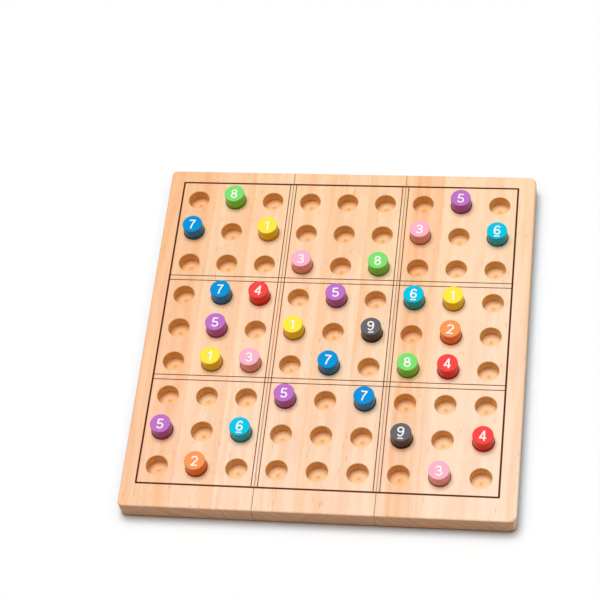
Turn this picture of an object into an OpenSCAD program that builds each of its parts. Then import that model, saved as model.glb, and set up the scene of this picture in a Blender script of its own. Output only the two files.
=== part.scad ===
// Wooden sudoku board: three drilled slats that magnets hold edge to edge,
// with numbered pegs standing in some of the holes.
// X runs along the rows, Y from the near edge to the far edge, Z up.
// The origin is under the middle of the board, on the surface it lies on.

/* [Board] */
// Spacing of the peg holes, along the rows and along the columns
pitch = 18; // [16:0.5:22]
// Thickness of the slats
slat_t = 9.5; // [9:0.5:16]
// Wood beyond the outer cells at the left edge
left_margin = 6.2; // [5:0.1:15]
// Wood beyond the outer cells at the right edge
right_margin = 7.5; // [5:0.1:15]
// Wood beyond the outer cells at the near edge
near_margin = 11.6; // [6:0.1:20]
// Wood beyond the outer cells at the far edge
far_margin = 7.9; // [6:0.1:20]
// Radius of the board's two left corners, seen from above
left_corner_r = 2.4; // [2:0.1:10]
// Radius of the board's two right corners, seen from above
right_corner_r = 3.6; // [2:0.1:10]
// Rounding along the outer edges
edge_r = 0.8; // [0.4:0.1:1.5]
// Rounding along the edges that meet at a seam
seam_edge_r = 0.35; // [0.2:0.05:0.8]

/* [Peg holes] */
// Diameter of a peg hole
hole_d = 9.8; // [8:0.1:12]
// Depth of a peg hole, down to its flat floor
hole_depth = 5.5; // [4:0.1:6.5]
// Chamfer around the mouth of a hole
rim_ease = 0.25; // [0.25:0.05:0.6]
// Diameter of the pit that the drill's point leaves in the floor
pit_d = 2.2; // [1:0.2:3]
// Depth of that pit below the floor
pit_depth = 0.5; // [0.3:0.1:1.2]

/* [Grid lines] */
// Width of the line that frames the grid
frame_line_w = 0.8; // [0.4:0.05:1.2]
// Width of the lines between the blocks
block_line_w = 0.45; // [0.3:0.05:0.8]
// Depth to which the lines are burnt in
line_depth = 0.2; // [0.1:0.05:0.4]
// Distance between the two lines of a pair along a seam
seam_pair_gap = 2.9; // [2:0.1:4]
// Distance between the two lines of a pair across the slats
cross_pair_gap = 2.5; // [1.5:0.1:4]
// How far the side lines of the frame lie inside the outer cells
frame_side_inset = 0.75; // [0:0.05:1.5]
// How far the end lines of the frame lie outside the outer cells
frame_end_outset = 0.5; // [0:0.1:1.5]
// How far all lines are shifted towards the far edge
line_shift = 0.5; // [0:0.1:1.5]

/* [Pegs] */
// Height of a peg above the board
peg_stand = 6.1; // [4:0.1:9]
// Gap between a peg's foot and the wall of its hole
peg_gap = 0.15; // [0.1:0.05:0.4]
// How much narrower a peg is at its top than at its foot
peg_taper = 0.1; // [0:0.1:1]
// Rounding of a peg's top edge
peg_top_r = 0.35; // [0.2:0.05:1]
// Chamfer of a peg's foot
peg_foot_bevel = 0.6; // [0.2:0.1:1]

/* [Magnets] */
// Diameter of a seam magnet
magnet_d = 6; // [4:0.5:7]
// Thickness of a seam magnet
magnet_t = 3; // [2:0.5:4]
// Gap between a magnet and the wall of its pocket
magnet_gap = 0.05; // [0.02:0.01:0.15]
// How far a magnet lies below the seam face
magnet_recess = 0.2; // [0.1:0.05:0.5]

/* [Hidden] */
$fn = 96;
// Every cutter reaches this far past the face that it opens
spill = 1;
rows = 9;
block_rows = 3;

// The puzzle, row by row from the far edge: a digit is a peg, 0 an empty hole
puzzle = [
    [0, 8, 0, 0, 0, 0, 0, 5, 0],
    [7, 0, 1, 0, 0, 0, 3, 0, 6],
    [0, 0, 0, 3, 0, 8, 0, 0, 0],
    [0, 7, 4, 0, 5, 0, 6, 1, 0],
    [0, 5, 0, 1, 0, 9, 0, 2, 0],
    [0, 1, 3, 0, 7, 0, 8, 4, 0],
    [0, 0, 0, 5, 0, 7, 0, 0, 0],
    [5, 0, 6, 0, 0, 0, 9, 0, 4],
    [0, 2, 0, 0, 0, 0, 0, 3, 0]
];
// Paint of each digit's pegs, from 1 to 9
paints = ["gold", "darkorange", "pink", "crimson", "mediumorchid",
          "darkturquoise", "dodgerblue", "limegreen", "dimgray"];
wood = "burlywood";

// The board around its holes
grid_half = rows * pitch / 2;
block_half = block_rows * pitch / 2;
side_x = grid_half + (left_margin + right_margin) / 2;
grid_x = left_margin - side_x + grid_half;
slat_l = 2 * grid_half + near_margin + far_margin;
near_y = -slat_l / 2;
far_y = slat_l / 2;
grid_y = near_y + near_margin + grid_half;
function seam_x(seam) = grid_x + seam * block_half;
function corner_r(side) = side < 0 ? left_corner_r : right_corner_r;

// Places of rows, columns and lines
function col_x(col) = grid_x + (col - (rows - 1) / 2) * pitch;
function row_y(row) = grid_y - (row - (rows - 1) / 2) * pitch;
line_y = grid_y + line_shift;
frame_x = grid_half - frame_side_inset;
frame_y = grid_half + frame_end_outset;

// Pegs: the foot stands on the floor of its hole
hole_r = hole_d / 2;
floor_z = slat_t - hole_depth;
peg_l = hole_depth + peg_stand;
peg_foot_r = hole_r - peg_gap;
peg_crown_r = peg_foot_r - peg_taper / 2;
pegs = [for (row = [0:rows - 1]) for (col = [0:rows - 1]) if (puzzle[row][col] > 0) [row, col]];
function peg_name(peg) = str("peg_", puzzle[peg[0]][peg[1]], "_row", peg[0] + 1, "_col", peg[1] + 1);

// Magnets: one pair near each end of each seam, midway between the end row and the next
magnet_y = (rows - 2) / 2 * pitch;
magnet_pocket_l = magnet_t + magnet_recess;
// Each seam face with magnets: name, seam on the left (-1) or right (1), and which way its slat lies
seam_faces = [
    ["left_slat_magnet", -1, -1],
    ["centre_slat_left_magnet", -1, 1],
    ["centre_slat_right_magnet", 1, -1],
    ["right_slat_magnet", 1, 1]
];
ends = [["near", -1], ["far", 1]];
magnets = [for (face = seam_faces) for (end = ends) [str(face[0], "_", end[0]), face, end[1]]];

// What a rounding takes off a square corner at the origin, with the body at the lower left
module edge_waste(r) {
    difference() {
        translate([-r, -r]) square(r + spill);
        translate([-r, -r]) circle(r);
    }
}

// Waste above and below along an edge that runs along Y; out is -1 or 1 for a left or right edge
module long_edges(x, out, r, y0, y1) {
    for (up = [0, 1])
        translate([x, (y0 + y1) / 2, up * slat_t])
            mirror([out < 0 ? 1 : 0, 0, 0])
            mirror([0, 0, 1 - up])
            rotate([90, 0, 0])
            linear_extrude(y1 - y0, center = true) edge_waste(r);
}

// Waste above and below along an edge that runs along X; out is -1 or 1 for the near or far edge
module end_edges(y, out, x0, x1) {
    for (up = [0, 1])
        translate([(x0 + x1) / 2, y, up * slat_t])
            mirror([0, out < 0 ? 1 : 0, 0])
            mirror([0, 0, 1 - up])
            rotate([90, 0, 90])
            linear_extrude(x1 - x0, center = true) edge_waste(edge_r);
}

// Waste of one rounded board corner: its plan and its two edges
module corner_cut(side, end) {
    r = corner_r(side);
    translate([side * (side_x - r), end > 0 ? far_y - r : near_y + r, 0])
        mirror([side < 0 ? 1 : 0, 0, 0])
        mirror([0, end < 0 ? 1 : 0, 0]) {
            translate([r, r, -spill])
                linear_extrude(slat_t + 2 * spill) edge_waste(r);
            for (up = [0, 1])
                translate([0, 0, up * slat_t])
                    mirror([0, 0, 1 - up])
                    rotate_extrude(angle = 90) translate([r, 0]) edge_waste(edge_r);
        }
}

// A blind hole with an eased mouth, a flat floor and the pit of the drill's point
module peg_hole(col, row) {
    translate([col_x(col), row_y(row), slat_t])
        rotate_extrude()
        polygon([
            [0, -hole_depth - pit_depth],
            [pit_d / 2, -hole_depth],
            [hole_r, -hole_depth],
            [hole_r, -rim_ease],
            [hole_r + rim_ease + spill, spill],
            [0, spill]
        ]);
}

// One burnt line along Y at x, or along X at y
module long_line(x, w) {
    translate([x - w / 2, line_y - frame_y, slat_t - line_depth])
        cube([w, 2 * frame_y, line_depth + spill]);
}

module cross_line(y, w) {
    translate([grid_x - frame_x - frame_line_w / 2, y - w / 2, slat_t - line_depth])
        cube([2 * frame_x + frame_line_w, w, line_depth + spill]);
}

// Lines that cross all three slats: the frame's ends and the two pairs between blocks
module cross_lines() {
    for (end = [-1, 1]) {
        cross_line(line_y + end * frame_y, frame_line_w);
        for (side = [-1, 1])
            cross_line(line_y + end * block_half + side * cross_pair_gap / 2, block_line_w);
    }
}

// A magnet's pocket, or the magnet itself: a disc let into a seam face
module seam_disc(face, end, r, from, to) {
    translate([seam_x(face[1]) + face[2] * (from + to) / 2, grid_y + end * magnet_y, slat_t / 2])
        rotate([0, 90, 0]) cylinder(h = to - from, r = r, center = true);
}

// One slat's blank with its holes, lines and pockets; side is -1 left, 0 centre, 1 right
module slat(side) {
    x0 = side < 0 ? -side_x : seam_x(side == 0 ? -1 : 1);
    x1 = side > 0 ? side_x : seam_x(side == 0 ? 1 : -1);
    seams = side == 0 ? [-1, 1] : [side];
    first_col = (side + 1) * block_rows;
    difference() {
        translate([x0, near_y, 0]) cube([x1 - x0, slat_l, slat_t]);
        for (seam = seams) {
            out = side == 0 ? seam : -side;
            long_edges(seam_x(seam), out, seam_edge_r, near_y - spill, far_y + spill);
            for (end = ends)
                translate([seam_x(seam), end[1] * slat_l / 2, -spill])
                    mirror([out < 0 ? 1 : 0, 0, 0])
                    mirror([0, end[1] < 0 ? 1 : 0, 0])
                    linear_extrude(slat_t + 2 * spill) edge_waste(seam_edge_r);
            long_line(seam_x(seam) - out * seam_pair_gap / 2, block_line_w);
        }
        if (side == 0) {
            for (end = ends) end_edges(end[1] * slat_l / 2, end[1], x0 - spill, x1 + spill);
        } else {
            inner_x = seam_x(side) - side * spill;
            tangent_x = side * (side_x - corner_r(side));
            for (end = ends) {
                end_edges(end[1] * slat_l / 2, end[1], min(inner_x, tangent_x), max(inner_x, tangent_x));
                corner_cut(side, end[1]);
            }
            long_edges(side * side_x, side, edge_r, near_y + corner_r(side), far_y - corner_r(side));
            long_line(grid_x + side * frame_x, frame_line_w);
        }
        cross_lines();
        for (row = [0:rows - 1])
            for (col = [first_col:first_col + block_rows - 1]) peg_hole(col, row);
        for (face = seam_faces)
            if (face[1] + face[2] == 2 * side || (side == 0 && face[1] + face[2] == 0))
                for (end = ends)
                    seam_disc(face, end[1], magnet_d / 2 + magnet_gap, -spill, magnet_pocket_l);
    }
}

module left_slat() {
    color(wood) slat(-1);
}

module centre_slat() {
    color(wood) slat(0);
}

module right_slat() {
    color(wood) slat(1);
}

// A seam magnet, seated on the floor of its pocket
module seam_magnet(magnet) {
    color("silver") seam_disc(magnet[1], magnet[2], magnet_d / 2, magnet_recess, magnet_pocket_l);
}

// A turned peg, slightly tapered, with a bevelled foot and a softly rounded top edge
module numbered_peg(peg) {
    color(paints[puzzle[peg[0]][peg[1]] - 1])
        translate([col_x(peg[1]), row_y(peg[0]), floor_z])
        rotate_extrude()
        difference() {
            polygon([
                [0, 0],
                [peg_foot_r - peg_foot_bevel, 0],
                [peg_foot_r, peg_foot_bevel],
                [peg_crown_r, peg_l - peg_top_r],
                [peg_crown_r, peg_l],
                [0, peg_l]
            ]);
            translate([peg_crown_r, peg_l]) edge_waste(peg_top_r);
        }
}

left_slat();
centre_slat();
right_slat();
for (magnet = magnets)
    seam_magnet(magnet);
for (peg = pegs)
    numbered_peg(peg);
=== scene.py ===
import math

import bmesh
import bpy
from mathutils import Matrix, Vector
from mathutils.geometry import delaunay_2d_cdt


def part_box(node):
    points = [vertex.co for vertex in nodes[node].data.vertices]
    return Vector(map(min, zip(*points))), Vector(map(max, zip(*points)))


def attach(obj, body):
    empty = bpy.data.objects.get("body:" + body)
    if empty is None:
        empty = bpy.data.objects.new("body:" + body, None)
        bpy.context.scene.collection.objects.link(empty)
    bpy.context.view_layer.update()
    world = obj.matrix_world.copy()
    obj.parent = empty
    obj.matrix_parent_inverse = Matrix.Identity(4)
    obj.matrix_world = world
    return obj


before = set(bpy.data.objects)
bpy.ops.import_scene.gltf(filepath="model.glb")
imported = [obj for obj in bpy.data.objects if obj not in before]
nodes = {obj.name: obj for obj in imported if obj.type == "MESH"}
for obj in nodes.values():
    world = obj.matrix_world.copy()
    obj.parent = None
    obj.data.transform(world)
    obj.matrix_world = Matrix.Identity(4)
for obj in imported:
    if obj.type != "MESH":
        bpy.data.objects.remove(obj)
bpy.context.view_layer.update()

scene = bpy.context.scene
mm = 0.001


def hexToLinear(text, alpha=1.0):
    channels = [int(text[i:i + 2], 16) / 255 for i in (1, 3, 5)]
    linear = [c / 12.92 if c <= 0.04045 else ((c + 0.055) / 1.055) ** 2.4 for c in channels]
    return (*linear, alpha)


# Adds one node: settings are its own fields, inputs are values or sockets to link
def addNode(tree, kind, settings=None, inputs=None):
    made = tree.nodes.new(kind)
    for field, value in (settings or {}).items():
        setattr(made, field, value)
    for key, value in (inputs or {}).items():
        if isinstance(value, bpy.types.NodeSocket):
            tree.links.new(value, made.inputs[key])
        else:
            made.inputs[key].default_value = value
    return made


def startMaterial(name):
    material = bpy.data.materials.new(name)
    material.use_nodes = True
    material.node_tree.nodes.clear()
    return material, material.node_tree


def endMaterial(tree, shader):
    addNode(tree, "ShaderNodeOutputMaterial", {}, {"Surface": shader.outputs[0]})


# Camera: fitted to the rows of holes, the lines and the edges in the photograph
camera = {
    "place": (0.13398, -0.49540, 0.82657),
    "look": (-0.15523, 0.52604, -0.83617),
    "up": (-0.02744, 0.84381, 0.53594),
    "lens": 126.77,
    "sensor": 36.0,
    "clipStart": 0.01,
    "clipEnd": 50.0,
}


def addCamera():
    look = Vector(camera["look"]).normalized()
    right = look.cross(Vector(camera["up"])).normalized()
    up = right.cross(look)
    turn = Matrix((right, up, -look)).transposed().to_4x4()
    data = bpy.data.cameras.new("photoCamera")
    data.lens = camera["lens"]
    data.sensor_width = camera["sensor"]
    data.clip_start = camera["clipStart"]
    data.clip_end = camera["clipEnd"]
    placed = bpy.data.objects.new("photoCamera", data)
    placed.matrix_world = Matrix.Translation(Vector(camera["place"])) @ turn
    scene.collection.objects.link(placed)
    scene.camera = placed


addCamera()
print("camera placed")


# Studio: a soft light above and a little behind, a dim room that is warm in front, and a pale floor
studio = {
    "sunFrom": (-0.09, 0.22, 1.0),
    "sunStrength": 2.9,
    "sunSpread": 36.0,
    "roomFront": 0.20,
    "roomBack": 0.14,
    "roomWarmth": "#ffc48a",
    "roomPlain": "#ffffff",
    "frontEnds": -0.5,
    "backStarts": 0.4,
    "floorSeen": "#f8fcff",
    "floorShade": "#b4c8d8",
    "floorBounce": "#e4e2df",
    "shadowReach": 9.0,
    "shadowSamples": 16,
    "floorHalf": 2.5,
    "floorDrop": 0.02,
}


def addStudio():
    scene.view_settings.view_transform = "Standard"
    world = bpy.data.worlds.new("softRoom")
    world.use_nodes = True
    tree = world.node_tree
    tree.nodes.clear()
    path = addNode(tree, "ShaderNodeLightPath").outputs
    way = addNode(tree, "ShaderNodeTexCoord").outputs["Generated"]
    way = addNode(tree, "ShaderNodeSeparateXYZ", {}, {0: way}).outputs
    back = addNode(tree, "ShaderNodeMapRange", {"interpolation_type": "SMOOTHSTEP"},
                   {0: way[1], 1: studio["frontEnds"], 2: studio["backStarts"]})
    back = addNode(tree, "ShaderNodeMath", {"operation": "MAXIMUM"},
                   {0: back.outputs[0], 1: path["Is Camera Ray"]})
    tint = addNode(tree, "ShaderNodeMix", {"data_type": "RGBA"}, {
        0: back.outputs[0], 6: hexToLinear(studio["roomWarmth"]), 7: hexToLinear(studio["roomPlain"])})
    level = addNode(tree, "ShaderNodeMix", {},
                    {0: back.outputs[0], 2: studio["roomFront"], 3: studio["roomBack"]})
    level = addNode(tree, "ShaderNodeMix", {}, {0: path["Is Camera Ray"], 2: level.outputs[0], 3: 1.0})
    room = addNode(tree, "ShaderNodeBackground", {},
                   {"Color": tint.outputs[2], "Strength": level.outputs[0]})
    addNode(tree, "ShaderNodeOutputWorld", {}, {"Surface": room.outputs[0]})
    scene.world = world

    sun = bpy.data.lights.new("broadSoftLight", "SUN")
    sun.energy = studio["sunStrength"]
    sun.angle = math.radians(studio["sunSpread"])
    lamp = bpy.data.objects.new("broadSoftLight", sun)
    lamp.rotation_euler = (-Vector(studio["sunFrom"])).to_track_quat("-Z", "Y").to_euler()
    scene.collection.objects.link(lamp)

    # The floor is white to the camera and to reflections, with a tight shadow where the board stands
    # on it, and gives the object a dimmer bounce
    material, tree = startMaterial("paleFloor")
    path = addNode(tree, "ShaderNodeLightPath").outputs
    seen = addNode(tree, "ShaderNodeMath", {"operation": "MAXIMUM"},
                   {0: path["Is Camera Ray"], 1: path["Is Glossy Ray"]})
    seen = addNode(tree, "ShaderNodeMath", {"operation": "MAXIMUM"},
                   {0: seen.outputs[0], 1: path["Is Transmission Ray"]})
    clear = addNode(tree, "ShaderNodeAmbientOcclusion", {"samples": studio["shadowSamples"]},
                    {"Distance": studio["shadowReach"] * mm})
    pale = addNode(tree, "ShaderNodeMix", {"data_type": "RGBA"}, {
        0: clear.outputs["AO"],
        6: hexToLinear(studio["floorShade"]),
        7: hexToLinear(studio["floorSeen"])})
    shade = addNode(tree, "ShaderNodeMix", {"data_type": "RGBA"},
                    {0: seen.outputs[0], 6: hexToLinear(studio["floorBounce"]), 7: pale.outputs[2]})
    endMaterial(tree, addNode(tree, "ShaderNodeBsdfDiffuse", {}, {"Color": shade.outputs[2]}))
    half = studio["floorHalf"]
    level = -studio["floorDrop"] * mm
    mesh = bpy.data.meshes.new("floor")
    corners = [(-half, -half, level), (half, -half, level), (half, half, level), (-half, half, level)]
    mesh.from_pydata(corners, [], [(0, 1, 2, 3)])
    mesh.materials.append(material)
    floor = bpy.data.objects.new("floor", mesh)
    scene.collection.objects.link(floor)


addStudio()
print("studio lit")


# Where the hole grid lies on the board, in mm
grid = {"x": -0.65, "y": 1.85, "half": 81.0, "seam": 27.0, "pitch": 18.0, "holeRadius": 4.9}

# Grid lines: burnt a little way into the slats
gridLine = {
    "frameWidth": 0.8,
    "blockWidth": 0.45,
    "depth": 0.2,
    "char": 0.06,
    "ragged": 0.10,
    "seed": 4.0,
    "middleY": 2.35,
    "frameX": 80.25,
    "frameY": 81.5,
    "seamPair": 2.9,
    "crossPair": 2.5,
    "seamInset": 0.1,
    "frameColour": "#5c1a0a",
    "blockColour": "#702e0c",
    "frameFade": 0.05,
    "blockFade": 0.15,
    "patchSize": 1.6,
    "waverSize": 2.0,
    "step": 1.2,
    "seamLift": 0.01,
    "charBelow": 0.6,
    "roughness": 0.9,
    "shine": 0.05,
}

# Pine: planed, edge-glued strips under a thin satin lacquer. The eye sees pale strips of slightly
# different tone, soft wide growth bands, fine fibres along the slats and short dark resin streaks. The
# cut ends are browner, and the drill has left the holes a warmer amber.
pine = {
    "pale": "#f8e0c7",
    "deep": "#f3bd90",
    "blush": "#f2b391",
    "resin": "#c0703a",
    "farTint": "#fff8e7",
    "farStarts": -60.0,
    "farEnds": 90.0,
    "flankPaintedShade": "#e4f5ff",
    # Painted shade on the long outer sides
    "endPale": "#dfb48f",
    "endDeep": "#d1a683",
    "scorch": "#6b3d26",
    # Painted shade in narrow gaps, from ambient occlusion: its colour, reach in mm, where it is full and
    # where none, its share and its samples
    "paintedGapShade": "#5a3015",
    "gapShadeReach": 0.8,
    "gapShadeFull": 0.15,
    "gapShadeNone": 0.60,
    "gapShadeShare": 0.85,
    "gapShadeSamples": 8,
    "drilled": "#f6d6a8",
    "pitTint": "#e4d6b2",
    "floorTint": "#f3e7d5",
    "wallTint": "#fff6d8",
    # Where pit, floor and wall begin and end, in parts of the hole's width from its middle
    "pitEnds": 0.03,
    "floorStarts": 0.12,
    "floorEnds": 0.46,
    "wallStarts": 0.495,
    # How far the drilled colour covers the wood's own, and between which distances in mm it changes
    "floorCover": 0.35,
    "wallCover": 0.70,
    "coverStarts": 4.4,
    "coverEnds": 4.8,
    "holeSlack": 0.08,
    "holeMiddle": 6.2,
    "holeReach": 3.15,
    "bandWidth": 3.2,
    "bandWander": 14.0,
    "bandShare": 0.85,
    "fibreShare": 0.60,
    "toneShift": 0.725,
    "wanderScale": (0.03, 0.010, 0.03),
    "blotchScale": (0.10, 0.028, 0.10),
    "blushStarts": 0.46,
    "blushEnds": 0.72,
    "blushShare": 0.22,
    "fibreWidth": 0.28,
    "fibreLength": 14.0,
    "streakWidth": 0.48,
    "streakLength": 5.5,
    "streakStarts": 0.63,
    "streakEnds": 0.78,
    "streakShare": 0.5,
    "patchScale": (0.15, 0.03, 0.15),
    "patchStarts": 0.38,
    "patchEnds": 0.56,
    # Seam darkening in mm from a seam, browning in mm from the middle of the frame line
    "seamDarkStarts": 0.10,
    "seamDarkEnds": 0.42,
    "seamDarkShare": 0.30,
    "brownStarts": 0.40,
    "brownEnds": 0.54,
    "brownShare": 0.7,
    "topAbove": 9.0,
    "smoothest": 0.46,
    "roughest": 0.62,
    "fibreBump": 0.35,
    "fibreDepth": 0.03,
    "shine": 0.25,
    # How squarely a face looks along an axis before it counts as an end, a flank or a seam face
    "squareStarts": 0.70,
    "squareEnds": 0.95,
    "seamFaceStarts": 0.85,
    "seamFaceEnds": 0.97,
    "ringStarts": 0.25,
    "ringEnds": 0.75,
    # Widest range of a pith's place, aside and below
    "pithAside": 400.0,
    "pithBelow": 200.0,
    # Right end of each strip in mm across the board, its tone at the left and at the right, and where
    # its pith lies, aside and below
    "strips": [
        (-64, 0.78, 0.78, -170, 70),
        (-46, 0.30, 0.66, -140, 100),
        (grid["x"] - grid["seam"], 0.36, 0.28, -130, 60),
        (-9, 0.40, 0.36, -110, 80),
        (9, 0.64, 0.16, 90, 65),
        (grid["x"] + grid["seam"], 0.60, 0.14, -60, 85),
        (30, 0.48, 0.48, -50, 60),
        (38, 0.84, 0.78, -50, 60),
        (45, 0.52, 0.50, -50, 60),
        (60, 0.18, 0.08, -30, 100),
        (83, 0.06, 0.06, -10, 75),
        (88, 0.24, 0.24, -10, 75),
    ],
    # Width of a glued joint between strips, in parts of the board's width
    "stripJoint": 0.0004,
}


def makePine():
    material, tree = startMaterial("lacqueredPine")
    smooth = {"interpolation_type": "SMOOTHSTEP"}

    # Everything is measured in millimetres from the board's middle
    place = addNode(tree, "ShaderNodeTexCoord").outputs["Object"]
    point = addNode(tree, "ShaderNodeVectorMath", {"operation": "SCALE"},
                    {0: place, "Scale": 1 / mm}).outputs[0]
    x, y, z = addNode(tree, "ShaderNodeSeparateXYZ", {}, {0: point}).outputs

    # Where a point lies in which strip decides its tone and its pith
    span = 2 * pine["strips"][-1][0]
    across = addNode(tree, "ShaderNodeMath", {"operation": "MULTIPLY_ADD"}, {0: x, 1: 1 / span, 2: 0.5})
    ramp = addNode(tree, "ShaderNodeValToRGB", {}, {0: across.outputs[0]})
    stops = ramp.color_ramp.elements
    stops.remove(stops[1])
    left = -pine["strips"][-1][0]
    for number, (right, toneLeft, toneRight, pithSide, pithDepth) in enumerate(pine["strips"]):
        pith = (pithSide / pine["pithAside"] + 0.5, pithDepth / pine["pithBelow"], 1)
        start = stops[0] if number == 0 else stops.new(left / span + 0.5 + pine["stripJoint"])
        start.color = (toneLeft, *pith)
        stops.new(right / span + 0.5).color = (toneRight, *pith)
        left = right
    tone, pithSide, pithDepth = addNode(tree, "ShaderNodeSeparateColor", {},
                                        {0: ramp.outputs[0]}).outputs[:3]

    # Growth bands around each strip's pith, wandering slowly along the slat
    side = addNode(tree, "ShaderNodeMath", {"operation": "MULTIPLY_ADD"},
                   {0: pithSide, 1: -pine["pithAside"], 2: pine["pithAside"] / 2})
    side = addNode(tree, "ShaderNodeMath", {"operation": "ADD"}, {0: side.outputs[0], 1: x})
    below = addNode(tree, "ShaderNodeMath", {"operation": "MULTIPLY_ADD"},
                    {0: pithDepth, 1: pine["pithBelow"], 2: z})
    fromPith = addNode(tree, "ShaderNodeCombineXYZ", {}, {0: side.outputs[0], 2: below.outputs[0]})
    reach = addNode(tree, "ShaderNodeVectorMath", {"operation": "LENGTH"}, {0: fromPith.outputs[0]})
    slow = addNode(tree, "ShaderNodeVectorMath", {"operation": "MULTIPLY"},
                   {0: point, 1: pine["wanderScale"]})
    drift = addNode(tree, "ShaderNodeTexNoise", {},
                    {"Vector": slow.outputs[0], "Scale": 1.0, "Detail": 2.0})
    reach = addNode(tree, "ShaderNodeMath", {"operation": "MULTIPLY_ADD"},
                    {0: drift.outputs[0], 1: pine["bandWander"], 2: reach.outputs["Value"]})
    band = addNode(tree, "ShaderNodeTexNoise", {"noise_dimensions": "1D"}, {
        "W": reach.outputs[0], "Scale": 1 / pine["bandWidth"], "Detail": 1.5, "Roughness": 0.45})
    band = band.outputs[0]

    # Fibres, blotches and resin streaks
    wide = 1 / pine["fibreWidth"]
    fine = addNode(tree, "ShaderNodeVectorMath", {"operation": "MULTIPLY"},
                   {0: point, 1: (wide, 1 / pine["fibreLength"], wide)})
    fibre = addNode(tree, "ShaderNodeTexNoise", {},
                    {"Vector": fine.outputs[0], "Scale": 1.0, "Detail": 3.0})
    fibre = fibre.outputs[0]
    broad = addNode(tree, "ShaderNodeVectorMath", {"operation": "MULTIPLY"},
                    {0: point, 1: pine["blotchScale"]})
    blotch = addNode(tree, "ShaderNodeTexNoise", {},
                     {"Vector": broad.outputs[0], "Scale": 1.0, "Detail": 2.0})
    blotch = blotch.outputs[0]
    wide = 1 / pine["streakWidth"]
    dash = addNode(tree, "ShaderNodeVectorMath", {"operation": "MULTIPLY"},
                   {0: point, 1: (wide, 1 / pine["streakLength"], wide)})
    dash = addNode(tree, "ShaderNodeTexNoise", {},
                   {"Vector": dash.outputs[0], "Scale": 1.0, "Detail": 1.0})
    dash = addNode(tree, "ShaderNodeMapRange", smooth,
                   {0: dash.outputs[0], 1: pine["streakStarts"], 2: pine["streakEnds"]})
    patch = addNode(tree, "ShaderNodeVectorMath", {"operation": "MULTIPLY"},
                    {0: point, 1: pine["patchScale"]})
    patch = addNode(tree, "ShaderNodeTexNoise", {},
                    {"Vector": patch.outputs[0], "Scale": 1.0, "Detail": 1.0})
    patch = addNode(tree, "ShaderNodeMapRange", smooth,
                    {0: patch.outputs[0], 1: pine["patchStarts"], 2: pine["patchEnds"]})
    streak = addNode(tree, "ShaderNodeMath", {"operation": "MULTIPLY"},
                     {0: dash.outputs[0], 1: patch.outputs[0]})

    # Long grain
    dark = addNode(tree, "ShaderNodeMath", {"operation": "MULTIPLY_ADD"},
                   {0: band, 1: pine["bandShare"], 2: tone})
    dark = addNode(tree, "ShaderNodeMath", {"operation": "MULTIPLY_ADD"},
                   {0: fibre, 1: pine["fibreShare"], 2: dark.outputs[0]})
    dark = addNode(tree, "ShaderNodeMath", {"operation": "SUBTRACT", "use_clamp": True},
                   {0: dark.outputs[0], 1: pine["toneShift"]})
    colour = addNode(tree, "ShaderNodeMix", {"data_type": "RGBA"},
                     {0: dark.outputs[0], 6: hexToLinear(pine["pale"]), 7: hexToLinear(pine["deep"])})
    rosy = addNode(tree, "ShaderNodeMapRange", smooth, {
        0: blotch, 1: pine["blushStarts"], 2: pine["blushEnds"], 4: pine["blushShare"]})
    colour = addNode(tree, "ShaderNodeMix", {"data_type": "RGBA"},
                     {0: rosy.outputs[0], 6: colour.outputs[2], 7: hexToLinear(pine["blush"])})
    stained = addNode(tree, "ShaderNodeMath", {"operation": "MULTIPLY"},
                      {0: streak.outputs[0], 1: pine["streakShare"]})
    colour = addNode(tree, "ShaderNodeMix", {"data_type": "RGBA"},
                     {0: stained.outputs[0], 6: colour.outputs[2], 7: hexToLinear(pine["resin"])})

    # The wood is a little yellower towards the far edge
    farther = addNode(tree, "ShaderNodeMapRange", {}, {0: y, 1: pine["farStarts"], 2: pine["farEnds"]})
    colour = addNode(tree, "ShaderNodeMix", {"data_type": "RGBA", "blend_type": "MULTIPLY"},
                     {0: farther.outputs[0], 6: colour.outputs[2], 7: hexToLinear(pine["farTint"])})

    # Cut ends face along Y
    normal = addNode(tree, "ShaderNodeNewGeometry").outputs["Normal"]
    facing = addNode(tree, "ShaderNodeVectorMath", {"operation": "ABSOLUTE"}, {0: normal})
    facing = addNode(tree, "ShaderNodeSeparateXYZ", {}, {0: facing.outputs[0]}).outputs
    cutEnd = addNode(tree, "ShaderNodeMapRange", smooth,
                     {0: facing[1], 1: pine["squareStarts"], 2: pine["squareEnds"]})
    ring = addNode(tree, "ShaderNodeMapRange", smooth,
                   {0: band, 1: pine["ringStarts"], 2: pine["ringEnds"]})
    endColour = addNode(tree, "ShaderNodeMix", {"data_type": "RGBA"}, {
        0: ring.outputs[0], 6: hexToLinear(pine["endPale"]), 7: hexToLinear(pine["endDeep"])})
    colour = addNode(tree, "ShaderNodeMix", {"data_type": "RGBA"},
                     {0: cutEnd.outputs[0], 6: colour.outputs[2], 7: endColour.outputs[2]})

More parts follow.
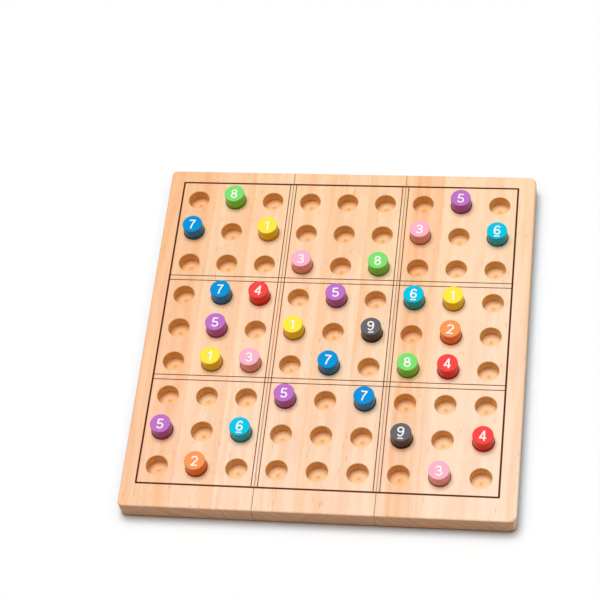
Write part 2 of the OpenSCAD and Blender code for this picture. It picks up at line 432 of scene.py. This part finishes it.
    # Inside the holes: pit, floor and wall by the distance from the nearest hole's axis
    gridX = addNode(tree, "ShaderNodeMath", {"operation": "SUBTRACT"}, {0: x, 1: grid["x"]}).outputs[0]
    gridY = addNode(tree, "ShaderNodeMath", {"operation": "SUBTRACT"}, {0: y, 1: grid["y"]}).outputs[0]
    cell = grid["pitch"] / 2
    cellX = addNode(tree, "ShaderNodeMath", {"operation": "WRAP"}, {0: gridX, 1: cell, 2: -cell})
    cellY = addNode(tree, "ShaderNodeMath", {"operation": "WRAP"}, {0: gridY, 1: cell, 2: -cell})
    inCell = addNode(tree, "ShaderNodeCombineXYZ", {}, {0: cellX.outputs[0], 1: cellY.outputs[0]})
    radius = addNode(tree, "ShaderNodeVectorMath", {"operation": "LENGTH"},
                     {0: inCell.outputs[0]}).outputs["Value"]
    tint = addNode(tree, "ShaderNodeMath", {"operation": "MULTIPLY"},
                   {0: radius, 1: 1 / (2 * grid["holeRadius"])})
    tint = addNode(tree, "ShaderNodeValToRGB", {}, {0: tint.outputs[0]})
    stops = tint.color_ramp.elements
    stops[0].position = pine["pitEnds"]
    stops[0].color = hexToLinear(pine["pitTint"])
    stops[1].position = pine["floorStarts"]
    stops[1].color = hexToLinear(pine["floorTint"])
    stops.new(pine["floorEnds"]).color = hexToLinear(pine["floorTint"])
    stops.new(pine["wallStarts"]).color = hexToLinear(pine["wallTint"])
    cover = addNode(tree, "ShaderNodeMapRange", smooth, {
        0: radius, 1: pine["coverStarts"], 2: pine["coverEnds"],
        3: pine["floorCover"], 4: pine["wallCover"]})
    drilled = addNode(tree, "ShaderNodeMix", {"data_type": "RGBA"},
                      {0: cover.outputs[0], 6: colour.outputs[2], 7: hexToLinear(pine["drilled"])})
    drilled = addNode(tree, "ShaderNodeMix", {"data_type": "RGBA", "blend_type": "MULTIPLY"},
                      {0: 1.0, 6: drilled.outputs[2], 7: tint.outputs[0]})
    farX = addNode(tree, "ShaderNodeMath", {"operation": "ABSOLUTE"}, {0: gridX})
    farY = addNode(tree, "ShaderNodeMath", {"operation": "ABSOLUTE"}, {0: gridY})
    far = addNode(tree, "ShaderNodeMath", {"operation": "MAXIMUM"},
                  {0: farX.outputs[0], 1: farY.outputs[0]})
    inside = addNode(tree, "ShaderNodeMath", {"operation": "LESS_THAN"},
                     {0: far.outputs[0], 1: grid["half"]})
    bored = addNode(tree, "ShaderNodeMath", {"operation": "LESS_THAN"},
                    {0: radius, 1: grid["holeRadius"] + pine["holeSlack"]})
    sunk = addNode(tree, "ShaderNodeMath", {"operation": "COMPARE"},
                   {0: z, 1: pine["holeMiddle"], 2: pine["holeReach"]})
    hole = addNode(tree, "ShaderNodeMath", {"operation": "MULTIPLY"},
                   {0: inside.outputs[0], 1: bored.outputs[0]})
    hole = addNode(tree, "ShaderNodeMath", {"operation": "MULTIPLY"},
                   {0: hole.outputs[0], 1: sunk.outputs[0]})
    colour = addNode(tree, "ShaderNodeMix", {"data_type": "RGBA"},
                     {0: hole.outputs[0], 6: colour.outputs[2], 7: drilled.outputs[2]})

    # Painted shade: the long outer sides are made greyer and cooler, as the wood looks in shade lit from
    # the white floor
    shadedFlank = addNode(tree, "ShaderNodeMapRange", smooth,
                    {0: facing[0], 1: pine["squareStarts"], 2: pine["squareEnds"]})
    outer = addNode(tree, "ShaderNodeMath", {"operation": "GREATER_THAN"},
                    {0: farX.outputs[0], 1: grid["half"]})
    shadedFlank = addNode(tree, "ShaderNodeMath", {"operation": "MULTIPLY"},
                    {0: shadedFlank.outputs[0], 1: outer.outputs[0]})
    colour = addNode(tree, "ShaderNodeMix", {"data_type": "RGBA", "blend_type": "MULTIPLY"},
                     {0: shadedFlank.outputs[0], 6: colour.outputs[2], 7: hexToLinear(pine["flankPaintedShade"])})

    # The rounded edges along the seams are darkened with the brown, the seam faces themselves are not
    apart = addNode(tree, "ShaderNodeMath", {"operation": "SUBTRACT"},
                    {0: farX.outputs[0], 1: grid["seam"]})
    apart = addNode(tree, "ShaderNodeMath", {"operation": "ABSOLUTE"}, {0: apart.outputs[0]})
    seamDarkening = addNode(tree, "ShaderNodeMapRange", smooth, {
        0: apart.outputs[0], 1: pine["seamDarkStarts"], 2: pine["seamDarkEnds"], 3: pine["seamDarkShare"], 4: 0.0})
    notSeamFace = addNode(tree, "ShaderNodeMapRange", smooth, {
        0: facing[0], 1: pine["seamFaceStarts"], 2: pine["seamFaceEnds"], 3: 1.0, 4: 0.0})
    seamDarkening = addNode(tree, "ShaderNodeMath", {"operation": "MULTIPLY"},
                   {0: seamDarkening.outputs[0], 1: notSeamFace.outputs[0]})
    colour = addNode(tree, "ShaderNodeMix", {"data_type": "RGBA"},
                     {0: seamDarkening.outputs[0], 6: colour.outputs[2], 7: hexToLinear(pine["scorch"])})

    # The wood is browned beside the burnt frame line
    lineY = addNode(tree, "ShaderNodeMath", {"operation": "SUBTRACT"}, {0: y, 1: gridLine["middleY"]})
    lineY = addNode(tree, "ShaderNodeMath", {"operation": "ABSOLUTE"}, {0: lineY.outputs[0]})
    lineY = addNode(tree, "ShaderNodeMath", {"operation": "SUBTRACT"},
                    {0: lineY.outputs[0], 1: gridLine["frameY"]})
    lineX = addNode(tree, "ShaderNodeMath", {"operation": "SUBTRACT"},
                    {0: farX.outputs[0], 1: gridLine["frameX"]})
    beside = addNode(tree, "ShaderNodeMath", {"operation": "MAXIMUM"},
                     {0: lineX.outputs[0], 1: lineY.outputs[0]})
    beside = addNode(tree, "ShaderNodeMath", {"operation": "ABSOLUTE"}, {0: beside.outputs[0]})
    brown = addNode(tree, "ShaderNodeMapRange", smooth, {
        0: beside.outputs[0], 1: pine["brownStarts"], 2: pine["brownEnds"],
        3: pine["brownShare"], 4: 0.0})
    above = addNode(tree, "ShaderNodeMath", {"operation": "GREATER_THAN"}, {0: z, 1: pine["topAbove"]})
    brown = addNode(tree, "ShaderNodeMath", {"operation": "MULTIPLY"},
                    {0: brown.outputs[0], 1: above.outputs[0]})
    colour = addNode(tree, "ShaderNodeMix", {"data_type": "RGBA"},
                     {0: brown.outputs[0], 6: colour.outputs[2], 7: hexToLinear(pine["scorch"])})

    # Painted shade: ambient occlusion darkens narrow gaps, around the pegs, in the seams and along the
    # floors of the holes
    clear = addNode(tree, "ShaderNodeAmbientOcclusion", {"samples": pine["gapShadeSamples"]},
                    {"Distance": pine["gapShadeReach"] * mm})
    paintedGapShade = addNode(tree, "ShaderNodeMapRange", smooth, {
        0: clear.outputs["AO"], 1: pine["gapShadeFull"], 2: pine["gapShadeNone"], 3: pine["gapShadeShare"], 4: 0.0})
    colour = addNode(tree, "ShaderNodeMix", {"data_type": "RGBA"},
                     {0: paintedGapShade.outputs[0], 6: colour.outputs[2], 7: hexToLinear(pine["paintedGapShade"])})

    rough = addNode(tree, "ShaderNodeMapRange", {}, {0: fibre, 3: pine["smoothest"], 4: pine["roughest"]})
    bump = addNode(tree, "ShaderNodeBump", {}, {
        "Strength": pine["fibreBump"], "Distance": pine["fibreDepth"] * mm, "Height": fibre})
    shader = addNode(tree, "ShaderNodeBsdfPrincipled", {}, {
        "Base Color": colour.outputs[2], "Roughness": rough.outputs[0], "IOR": 1.5,
        "Specular IOR Level": pine["shine"], "Normal": bump.outputs[0]})
    endMaterial(tree, shader)
    return material


# Peg paint: a sprayed enamel on turned wood. The grain telegraphs through faintly, along the sides as
# streaks and on top as specks. The sides carry painted shade: a deeper, more saturated colour than the
# tops, the look of the same paint in shade. The sides have a satin gloss, the tops are dull.
paint = {
    "names": {1: "yellow", 2: "orange", 3: "pink", 4: "red", 5: "purple",
              6: "teal", 7: "blue", 8: "green", 9: "grey"},
    "tops": {1: "#fdee4a", 2: "#fb9d5c", 3: "#fbb9d1", 4: "#fb4b49", 5: "#c376d0",
             6: "#00ccf0", 7: "#0098e2", 8: "#80e878", 9: "#6a6a70"},
    # Side colours: painted shade, deeper and more saturated than the tops, as the paint looks in shade
    "shadedSides": {1: "#fcd60a", 2: "#fc7f12", 3: "#fca7ac", 4: "#f32b1d", 5: "#b55bb6",
              6: "#14b0d2", 7: "#2480c8", 8: "#86e745", 9: "#4b423d"},
    "grainWidth": 0.35,
    "grainLength": 4.0,
    "grainCover": 0.90,
    "grainBump": 0.25,
    "grainDepth": 0.03,
    "smoothest": 0.25,
    "roughest": 0.37,
    "sideGloss": 0.2,
    "topGloss": 0.02,
    "topStarts": 0.3,
    "topEnds": 0.8,
}


def makePaint(digit):
    material, tree = startMaterial(paint["names"][digit] + "SatinEnamel")
    place = addNode(tree, "ShaderNodeTexCoord").outputs["Object"]
    wide = 1 / (paint["grainWidth"] * mm)
    tall = 1 / (paint["grainLength"] * mm)
    along = addNode(tree, "ShaderNodeVectorMath", {"operation": "MULTIPLY"},
                    {0: place, 1: (wide, wide, tall)})
    grain = addNode(tree, "ShaderNodeTexNoise", {},
                    {"Vector": along.outputs[0], "Scale": 1.0, "Detail": 2.0})
    normal = addNode(tree, "ShaderNodeNewGeometry").outputs["Normal"]
    facing = addNode(tree, "ShaderNodeSeparateXYZ", {}, {0: normal}).outputs
    top = addNode(tree, "ShaderNodeMapRange", {"interpolation_type": "SMOOTHSTEP"},
                  {0: facing[2], 1: paint["topStarts"], 2: paint["topEnds"]})
    # Painted shade: faces that do not look up take the deeper side colour
    colour = addNode(tree, "ShaderNodeMix", {"data_type": "RGBA"}, {
        0: top.outputs[0],
        6: hexToLinear(paint["shadedSides"][digit]),
        7: hexToLinear(paint["tops"][digit])})
    cover = addNode(tree, "ShaderNodeMapRange", {}, {0: grain.outputs[0], 3: paint["grainCover"], 4: 1.0})
    colour = addNode(tree, "ShaderNodeMix", {"data_type": "RGBA", "blend_type": "MULTIPLY"},
                     {0: 1.0, 6: colour.outputs[2], 7: cover.outputs[0]})
    gloss = addNode(tree, "ShaderNodeMix", {},
                    {0: top.outputs[0], 2: paint["sideGloss"], 3: paint["topGloss"]})
    rough = addNode(tree, "ShaderNodeMapRange", {},
                    {0: grain.outputs[0], 3: paint["smoothest"], 4: paint["roughest"]})
    bump = addNode(tree, "ShaderNodeBump", {}, {
        "Strength": paint["grainBump"], "Distance": paint["grainDepth"] * mm, "Height": grain.outputs[0]})
    shader = addNode(tree, "ShaderNodeBsdfPrincipled", {}, {
        "Base Color": colour.outputs[2], "Roughness": rough.outputs[0], "IOR": 1.5,
        "Specular IOR Level": gloss.outputs[0], "Normal": bump.outputs[0]})
    endMaterial(tree, shader)
    return material


# Magnets: nickel-plated sintered discs, a cool bright metal with a fine tumbled haze
nickel = {"colour": "#c9c6c0", "smoothest": 0.18, "roughest": 0.34, "hazeSize": 0.25}


def makeNickel():
    material, tree = startMaterial("nickelPlate")
    place = addNode(tree, "ShaderNodeTexCoord").outputs["Object"]
    haze = addNode(tree, "ShaderNodeTexNoise", {},
                   {"Vector": place, "Scale": 1 / (nickel["hazeSize"] * mm), "Detail": 2.0})
    rough = addNode(tree, "ShaderNodeMapRange", {},
                    {0: haze.outputs["Fac"], 3: nickel["smoothest"], 4: nickel["roughest"]})
    shader = addNode(tree, "ShaderNodeBsdfPrincipled", {}, {
        "Base Color": hexToLinear(nickel["colour"]), "Metallic": 1.0, "Roughness": rough.outputs[0]})
    endMaterial(tree, shader)
    return material


def dressNode(name, material):
    node = nodes[name]
    for place in node.material_slots:
        place.material = material


pineMaterial = makePine()
nickelMaterial = makeNickel()
paintMaterials = {digit: makePaint(digit) for digit in paint["tops"]}
pegNames = [name for name in nodes if name.startswith("peg_")]
for name in nodes:
    if name.endswith("_slat"):
        dressNode(name, pineMaterial)
    elif name in pegNames:
        dressNode(name, paintMaterials[int(name.split("_")[1])])
    else:
        dressNode(name, nickelMaterial)
print("solids dressed:", len(nodes))


# Numerals: plain strokes, printed in white on the peg tops. Sizes in mm, strokes in parts of the height.
numeral = {
    "height": 5.05,
    "width": 1.03,
    "stroke": 0.13,
    "underlineStroke": 0.11,
    "turn": 5.0,
    "towardsNear": 0.3,
    "film": 0.03,
    "sunk": 0.02,
    "colour": "#fbfaf7",
    "roughness": 0.55,
    "shine": 0.3,
    "mitreLimit": 0.4,
    "flatAngle": 0.02,
    "thinnest": 0.94,
    "spotSize": 0.5,
    "middle": 0.5,
    "middleUnderlined": 0.40,
}


def arc(centreX, centreY, radiusX, radiusY, start, end, steps=20):
    angles = [math.radians(start + (end - start) * i / steps) for i in range(steps + 1)]
    return [(centreX + radiusX * math.cos(a), centreY + radiusY * math.sin(a)) for a in angles]


six = [arc(0.01, 0.30, 0.235, 0.2275, 0, 360, 32), arc(0.04, 0.44, 0.265, 0.4875, 190, 42)]
digitStrokes = {
    1: [[(0.06, 0.0), (0.06, 1.0)], [(-0.19, 0.775), (-0.03, 0.85), (0.045, 0.95)]],
    2: [arc(0.0, 0.70, 0.245, 0.2275, 172, -32) + [(-0.22, 0.06)], [(-0.29, 0.0725), (0.29, 0.0725)]],
    3: [arc(-0.01, 0.72, 0.215, 0.2075, 165, -90), arc(-0.01, 0.29, 0.245, 0.2175, 90, -165),
        [(-0.10, 0.51), (0.0, 0.51)]],
    4: [[(0.10, 0.96), (-0.26, 0.285)], [(-0.31, 0.285), (0.30, 0.285)], [(0.12, 0.0), (0.12, 1.0)]],
    5: [[(-0.20, 0.9275), (0.25, 0.9275)], [(-0.15, 0.95), (-0.205, 0.49)],
        arc(0.0, 0.32, 0.25, 0.2475, 138, -162)],
    6: six,
    7: [[(-0.28, 0.9275), (0.29, 0.9275)], [(0.235, 0.95), (0.08, 0.64), (-0.03, 0.33), (-0.08, 0.0)]],
    8: [arc(0.0, 0.73, 0.20, 0.1975, 0, 360, 32), arc(0.0, 0.29, 0.24, 0.2175, 0, 360, 32)],
    9: [[(-px, 1 - py) for px, py in stroke] for stroke in six],
}
underline = [(-0.24, -0.16), (0.24, -0.16)]


# One stroke as a row of four-sided pieces, with mitred corners
def strokePieces(points, width):
    path = [Vector(point) for point in points]
    closed = (path[0] - path[-1]).length < 1e-6
    if closed:
        path = path[:-1]
    count = len(path)
    shadedSides = []
    for i, point in enumerate(path):
        before = path[i - 1] if closed or i > 0 else None
        after = path[(i + 1) % count] if closed or i < count - 1 else None
        ways = []
        if before is not None:
            ways.append((point - before).normalized())
        if after is not None:
            ways.append((after - point).normalized())
        way = sum(ways, Vector((0, 0))).normalized()
        out = Vector((-way.y, way.x))
        reach = width / 2 / max(numeral["mitreLimit"], way.dot(ways[0]))
        shadedSides.append((point + out * reach, point - out * reach))
    last = count if closed else count - 1
    return [(shadedSides[i][0], shadedSides[i][1], shadedSides[(i + 1) % count][1], shadedSides[(i + 1) % count][0])
            for i in range(last)]


# All strokes of a digit joined into one flat outline, as points and triangles
def digitOutline(digit):
    pieces = []
    for stroke in digitStrokes[digit]:
        pieces += strokePieces(stroke, numeral["stroke"])
    if digit in (6, 9):
        pieces += strokePieces(underline, numeral["underlineStroke"])
    points = [corner for piece in pieces for corner in piece]
    faces = [list(range(4 * i, 4 * i + 4)) for i in range(len(pieces))]
    joined = delaunay_2d_cdt(points, [], faces, 0, 1e-5)
    return joined[0], [face for face, source in zip(joined[2], joined[5]) if source]


def makeNumeral(name, outline, turn, material):
    digit = int(name.split("_")[1])
    low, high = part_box(name)
    centre = (Vector(low) + Vector(high)) / 2
    top = high[2]
    size = numeral["height"] * mm
    drop = numeral["middleUnderlined"] if digit in (6, 9) else numeral["middle"]
    cosine = math.cos(math.radians(turn))
    sine = math.sin(math.radians(turn))
    points, faces = outline
    shape = bmesh.new()
    corners = []
    for point in points:
        px = point.x * size * numeral["width"]
        py = (point.y - drop) * size
        corners.append(shape.verts.new((centre.x + px * cosine - py * sine,
                                        centre.y - numeral["towardsNear"] * mm + px * sine + py * cosine,
                                        top - numeral["sunk"] * mm)))
    for face in faces:
        shape.faces.new([corners[i] for i in face])
    bmesh.ops.dissolve_limit(shape, angle_limit=numeral["flatAngle"], verts=shape.verts,
                             edges=shape.edges)
    bmesh.ops.recalc_face_normals(shape, faces=shape.faces)
    raised = bmesh.ops.extrude_face_region(shape, geom=shape.faces[:])
    lifted = [item for item in raised["geom"] if isinstance(item, bmesh.types.BMVert)]
    bmesh.ops.translate(shape, verts=lifted, vec=(0, 0, (numeral["film"] + numeral["sunk"]) * mm))
    bmesh.ops.recalc_face_normals(shape, faces=shape.faces)
    mesh = bpy.data.meshes.new("numeral_" + name)
    shape.to_mesh(mesh)
    shape.free()
    mesh.materials.append(material)
    piece = bpy.data.objects.new("numeral_" + name, mesh)
    scene.collection.objects.link(piece)
    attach(piece, name)


# White print: a thin matt screen ink, slightly uneven where it soaked in
def makeWhiteInk():
    material, tree = startMaterial("whiteScreenInk")
    place = addNode(tree, "ShaderNodeTexCoord").outputs["Object"]
    spots = addNode(tree, "ShaderNodeTexNoise", {},
                    {"Vector": place, "Scale": 1 / (numeral["spotSize"] * mm), "Detail": 2.0})
    white = hexToLinear(numeral["colour"])
    thin = tuple(c * numeral["thinnest"] for c in white[:3]) + (1.0,)
    colour = addNode(tree, "ShaderNodeMix", {"data_type": "RGBA"},
                     {0: spots.outputs["Fac"], 6: thin, 7: white})
    shader = addNode(tree, "ShaderNodeBsdfPrincipled", {}, {
        "Base Color": colour.outputs[2], "Roughness": numeral["roughness"], "IOR": 1.5,
        "Specular IOR Level": numeral["shine"]})
    endMaterial(tree, shader)
    return material


# Pegs whose numerals stand visibly turned in the photograph
turnedLeft = ("peg_3_row6_col3", "peg_3_row9_col8", "peg_5_row4_col5", "peg_8_row3_col6",
              "peg_8_row6_col7", "peg_9_row5_col6")
turnedRight = ("peg_2_row5_col8", "peg_4_row4_col3", "peg_7_row6_col5", "peg_7_row7_col6")
inkMaterial = makeWhiteInk()
outlines = {digit: digitOutline(digit) for digit in digitStrokes}
for name in pegNames:
    digit = int(name.split("_")[1])
    turn = numeral["turn"] * ((name in turnedLeft) - (name in turnedRight))
    makeNumeral(name, outlines[digit], turn, inkMaterial)
print("numerals printed:", len(pegNames))


# The char lies on the floor of each groove: dull, patchy, dark brown
def makeChar(name, text, fade):
    material, tree = startMaterial(name)
    place = addNode(tree, "ShaderNodeTexCoord").outputs["Object"]
    patchy = addNode(tree, "ShaderNodeTexNoise", {},
                     {"Vector": place, "Scale": 1 / (gridLine["patchSize"] * mm), "Detail": 3.0})
    base = hexToLinear(text)
    wood = hexToLinear(pine["deep"])
    faded = tuple(c + fade * (w - c) for c, w in zip(base, wood))
    colour = addNode(tree, "ShaderNodeMix", {"data_type": "RGBA"},
                     {0: patchy.outputs["Fac"], 6: base, 7: faded})
    shader = addNode(tree, "ShaderNodeBsdfPrincipled", {}, {
        "Base Color": colour.outputs[2], "Roughness": gridLine["roughness"], "IOR": 1.5,
        "Specular IOR Level": gridLine["shine"]})
    endMaterial(tree, shader)
    return material


# Node tree: each edge of the input becomes a low bar whose width wavers a little
def makeLineTree():
    tree = bpy.data.node_groups.new("burntLines", "GeometryNodeTree")
    face = tree.interface
    face.new_socket("Geometry", in_out="INPUT", socket_type="NodeSocketGeometry")
    for label in ("Width", "Thickness", "Ragged", "Seed"):
        face.new_socket(label, in_out="INPUT", socket_type="NodeSocketFloat")
    face.new_socket("Char", in_out="INPUT", socket_type="NodeSocketMaterial")
    face.new_socket("Geometry", in_out="OUTPUT", socket_type="NodeSocketGeometry")
    given = addNode(tree, "NodeGroupInput").outputs
    curve = addNode(tree, "GeometryNodeMeshToCurve", {}, {"Mesh": given["Geometry"]})
    curve = addNode(tree, "GeometryNodeResampleCurve", {"mode": "LENGTH"},
                    {"Curve": curve.outputs[0], "Length": gridLine["step"] * mm})
    curve = addNode(tree, "GeometryNodeSetCurveNormal", {"mode": "Z_UP"}, {"Curve": curve.outputs[0]})
    place = addNode(tree, "GeometryNodeInputPosition")
    wavers = addNode(tree, "ShaderNodeTexNoise", {"noise_dimensions": "4D"}, {
        "Vector": place.outputs[0], "W": given["Seed"], "Scale": 1 / (gridLine["waverSize"] * mm)})
    narrow = addNode(tree, "ShaderNodeMath", {"operation": "MULTIPLY"},
                     {0: wavers.outputs["Fac"], 1: given["Ragged"]})
    radius = addNode(tree, "ShaderNodeMath", {"operation": "SUBTRACT"}, {0: 1.0, 1: narrow.outputs[0]})
    curve = addNode(tree, "GeometryNodeSetCurveRadius", {},
                    {"Curve": curve.outputs[0], "Radius": radius.outputs[0]})
    section = addNode(tree, "GeometryNodeCurvePrimitiveQuadrilateral", {},
                      {"Width": given["Width"], "Height": given["Thickness"]})
    bars = addNode(tree, "GeometryNodeCurveToMesh", {}, {
        "Curve": curve.outputs[0], "Profile Curve": section.outputs[0], "Fill Caps": True})
    whole = addNode(tree, "GeometryNodeRealizeInstances", {}, {"Geometry": bars.outputs[0]})
    dressed = addNode(tree, "GeometryNodeSetMaterial", {},
                      {"Geometry": whole.outputs[0], "Material": given["Char"]})
    addNode(tree, "NodeGroupOutput", {}, {0: dressed.outputs[0]})
    return tree


def makeLines(name, body, edges, width, lift, material, tree):
    points = []
    for start, end in edges:
        points += [((point[0] + grid["x"]) * mm, point[1] * mm, lift) for point in (start, end)]
    path = bpy.data.meshes.new(name + "Path")
    path.from_pydata(points, [(2 * i, 2 * i + 1) for i in range(len(edges))], [])
    maker = bpy.data.objects.new(name + "Maker", path)
    scene.collection.objects.link(maker)
    modifier = maker.modifiers.new("burntLines", "NODES")
    modifier.node_group = tree
    values = {"Width": width * mm, "Thickness": gridLine["char"] * mm, "Ragged": gridLine["ragged"],
              "Seed": gridLine["seed"], "Char": material}
    for socket in tree.interface.items_tree:
        if socket.in_out == "INPUT" and socket.name in values:
            modifier[socket.identifier] = values[socket.name]
    evaluated = maker.evaluated_get(bpy.context.evaluated_depsgraph_get())
    mesh = bpy.data.meshes.new_from_object(evaluated)
    bpy.data.objects.remove(maker)
    bpy.data.meshes.remove(path)
    mesh.name = name
    shape = bmesh.new()
    shape.from_mesh(mesh)
    bmesh.ops.remove_doubles(shape, verts=shape.verts, dist=1e-7)
    bmesh.ops.recalc_face_normals(shape, faces=shape.faces)
    shape.to_mesh(mesh)
    shape.free()
    piece = bpy.data.objects.new(name, mesh)
    scene.collection.objects.link(piece)
    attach(piece, body)


def addGridLines():
    tree = makeLineTree()
    frameChar = makeChar("deepChar", gridLine["frameColour"], gridLine["frameFade"])
    blockChar = makeChar("lightChar", gridLine["blockColour"], gridLine["blockFade"])
    middle = gridLine["middleY"]
    frameX = gridLine["frameX"]
    frameY = gridLine["frameY"]
    seamX = grid["seam"]
    inset = gridLine["seamInset"]
    spans = {"left_slat": (-frameX, -seamX), "centre_slat": (-seamX, seamX),
             "right_slat": (seamX, frameX)}
    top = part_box("centre_slat")[1][2]
    lift = top - (gridLine["depth"] - gridLine["char"] * gridLine["charBelow"]) * mm
    for body, (startX, endX) in spans.items():
        x0 = startX + (inset if abs(startX) == seamX else 0)
        x1 = endX - (inset if abs(endX) == seamX else 0)
        deep = [((x0, middle + side * frameY), (x1, middle + side * frameY)) for side in (-1, 1)]
        fine = []
        for end in (-1, 1):
            for half in (-1, 1):
                level = middle + end * seamX + half * gridLine["crossPair"] / 2
                fine.append(((x0, level), (x1, level)))
        fineLong = []
        for edge, inward in ((startX, 1), (endX, -1)):
            if abs(edge) == seamX:
                lineX = edge + inward * gridLine["seamPair"] / 2
                fineLong.append(((lineX, middle - frameY), (lineX, middle + frameY)))
            else:
                deep.append(((edge, middle - frameY), (edge, middle + frameY)))
        slat = body.split("_")[0]
        makeLines(slat + "FrameLine", body, deep, gridLine["frameWidth"], lift, frameChar, tree)
        makeLines(slat + "BlockLines", body, fine, gridLine["blockWidth"], lift, blockChar, tree)
        makeLines(slat + "SeamLines", body, fineLong, gridLine["blockWidth"],
                  lift + gridLine["seamLift"] * mm, blockChar, tree)


addGridLines()
print("grid lines burnt")
